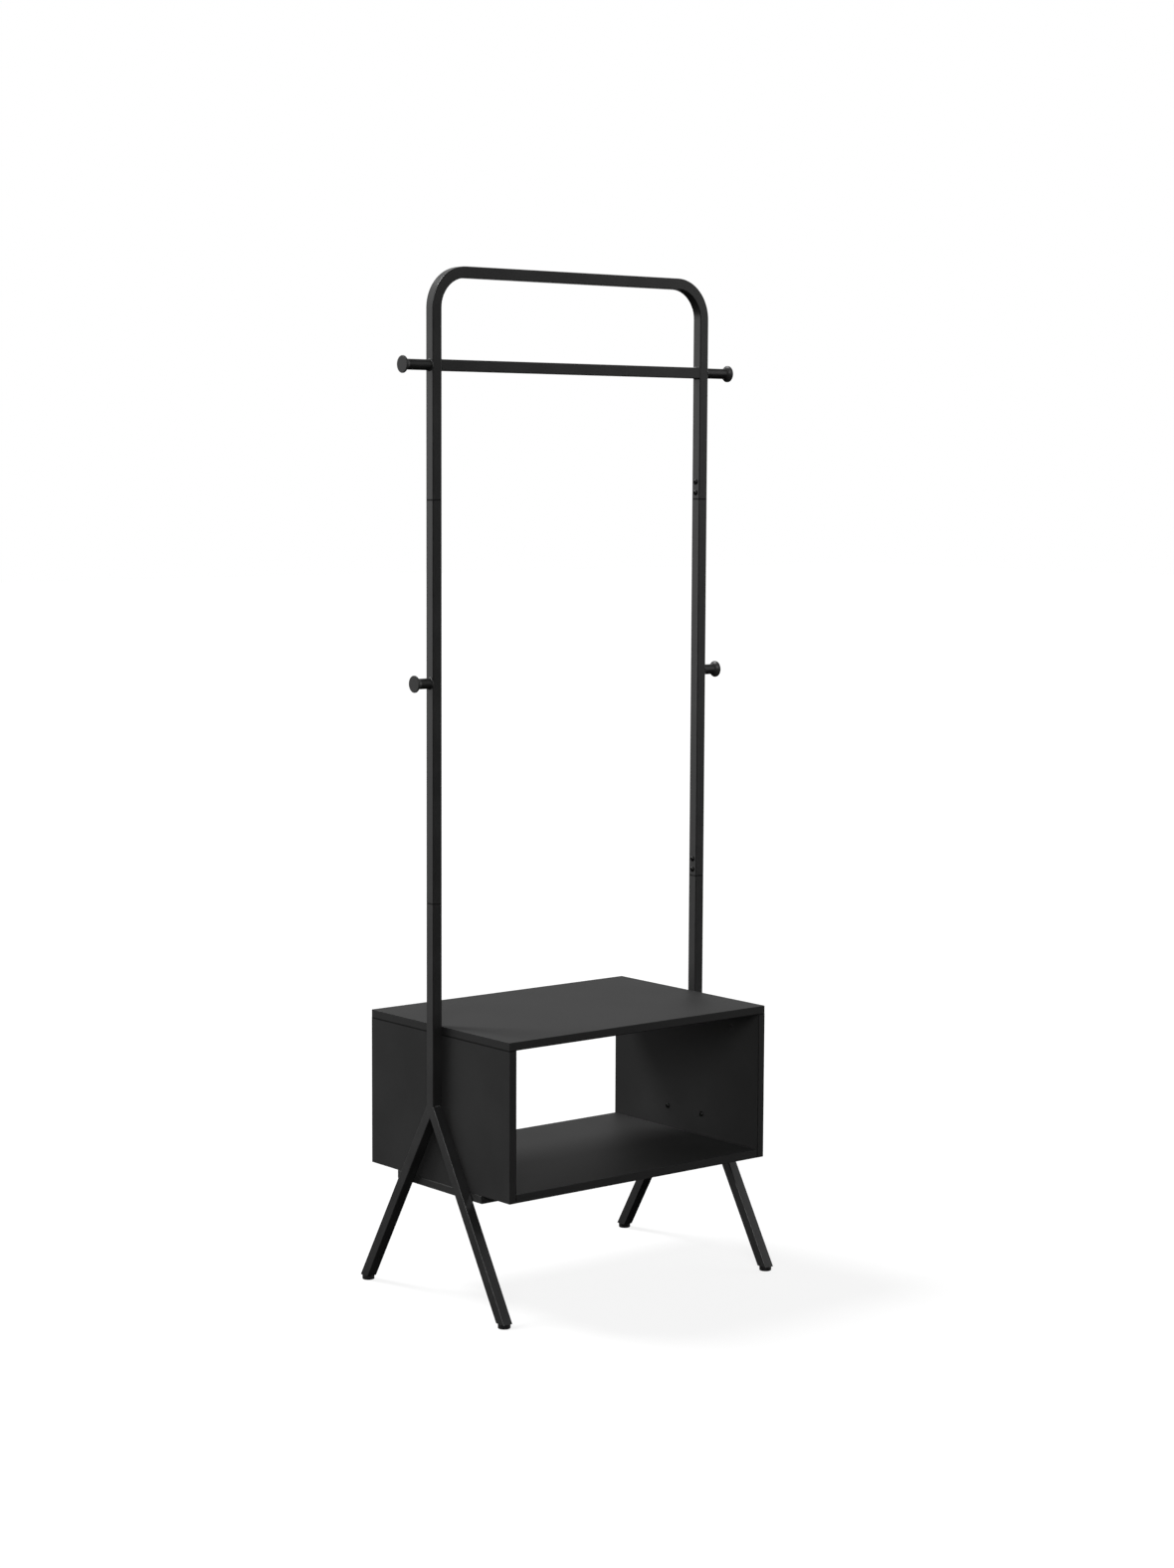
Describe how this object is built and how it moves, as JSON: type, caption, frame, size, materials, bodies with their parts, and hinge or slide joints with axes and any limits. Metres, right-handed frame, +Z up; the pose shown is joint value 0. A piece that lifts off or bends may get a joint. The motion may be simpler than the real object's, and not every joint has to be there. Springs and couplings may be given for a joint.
{
  "type": "hall tree",
  "caption": "Free-standing hall tree: a square steel tube rack with a hanging rail and knob pegs on forked legs, round an open box shelf to sit or set things on.",
  "frame": {"origin": "on the floor, under the middle of the rack", "axes": "+X to the right along the hanging rail, -Y to the front, +Z up"},
  "size_m": [0.758, 0.4352, 1.848],
  "materials": {
    "paint": "semi-gloss black powder coat with a fine texture",
    "knob": "semi-gloss black powder coat",
    "board": "particle board faced with matt black melamine",
    "edging": "matt black edge band",
    "bolt": "black oxide, satin",
    "zinc": "zinc plated steel",
    "cam": "black plated zinc casting",
    "beech": "plain beech",
    "foot": "moulded black plastic, matt",
    "plug": "moulded black plastic"
  },
  "bodies": {
    "rack": {"bottom_edge_bands": "edging", "box_bolts": "bolt", "box_bottom": "board", "box_rivet_nuts": "zinc", "box_top": "board", "cam_bolts": "zinc", "cams": "cam", "dowels": "beech", "hanging_rail": "paint", "leg_back_left": "paint", "leg_back_right": "paint", "leg_front_left": "paint", "leg_front_right": "paint", "leg_plug_back_left": "plug", "leg_plug_back_right": "plug", "leg_plug_front_left": "plug", "leg_plug_front_right": "plug", "lower_joint_bolts": "bolt", "lower_joint_nuts": "zinc", "lower_post_left": "paint", "lower_post_right": "paint", "lower_sleeve_left": "zinc", "lower_sleeve_right": "zinc", "middle_post_left": "paint", "middle_post_right": "paint", "rail_peg_knob_left": "knob", "rail_peg_knob_right": "knob", "rail_peg_stub_left": "paint", "rail_peg_stub_right": "paint", "side_edge_bands_left": "edging", "side_edge_bands_right": "edging", "side_panel_left": "board", "side_panel_right": "board", "side_peg_knob_left": "knob", "side_peg_knob_right": "knob", "side_peg_stub_left": "paint", "side_peg_stub_right": "paint", "support_bolts": "bolt", "support_rail_back": "paint", "support_rail_front": "paint", "support_rail_left": "paint", "support_rail_right": "paint", "support_rivet_nuts": "zinc", "top_edge_band": "edging", "top_frame": "paint", "upper_joint_bolts": "bolt", "upper_joint_nuts": "zinc", "upper_sleeve_left": "zinc", "upper_sleeve_right": "zinc"},
    "levelling_foot_front_left": {"foot_stud_front_left": "zinc", "foot_pad_front_left": "foot"},
    "levelling_foot_back_left": {"foot_stud_back_left": "zinc", "foot_pad_back_left": "foot"},
    "levelling_foot_front_right": {"foot_stud_front_right": "zinc", "foot_pad_front_right": "foot"},
    "levelling_foot_back_right": {"foot_stud_back_right": "zinc", "foot_pad_back_right": "foot"}
  },
  "joints": [
    {"name": "screw_out_front_left", "type": "slide", "parent": "rack", "child": "levelling_foot_front_left", "axis": [0, 0, -1], "range_m": [0, 0.005]},
    {"name": "screw_out_back_left", "type": "slide", "parent": "rack", "child": "levelling_foot_back_left", "axis": [0, 0, -1], "range_m": [0, 0.005]},
    {"name": "screw_out_front_right", "type": "slide", "parent": "rack", "child": "levelling_foot_front_right", "axis": [0, 0, -1], "range_m": [0, 0.005]},
    {"name": "screw_out_back_right", "type": "slide", "parent": "rack", "child": "levelling_foot_back_right", "axis": [0, 0, -1], "range_m": [0, 0.005]}
  ]
}
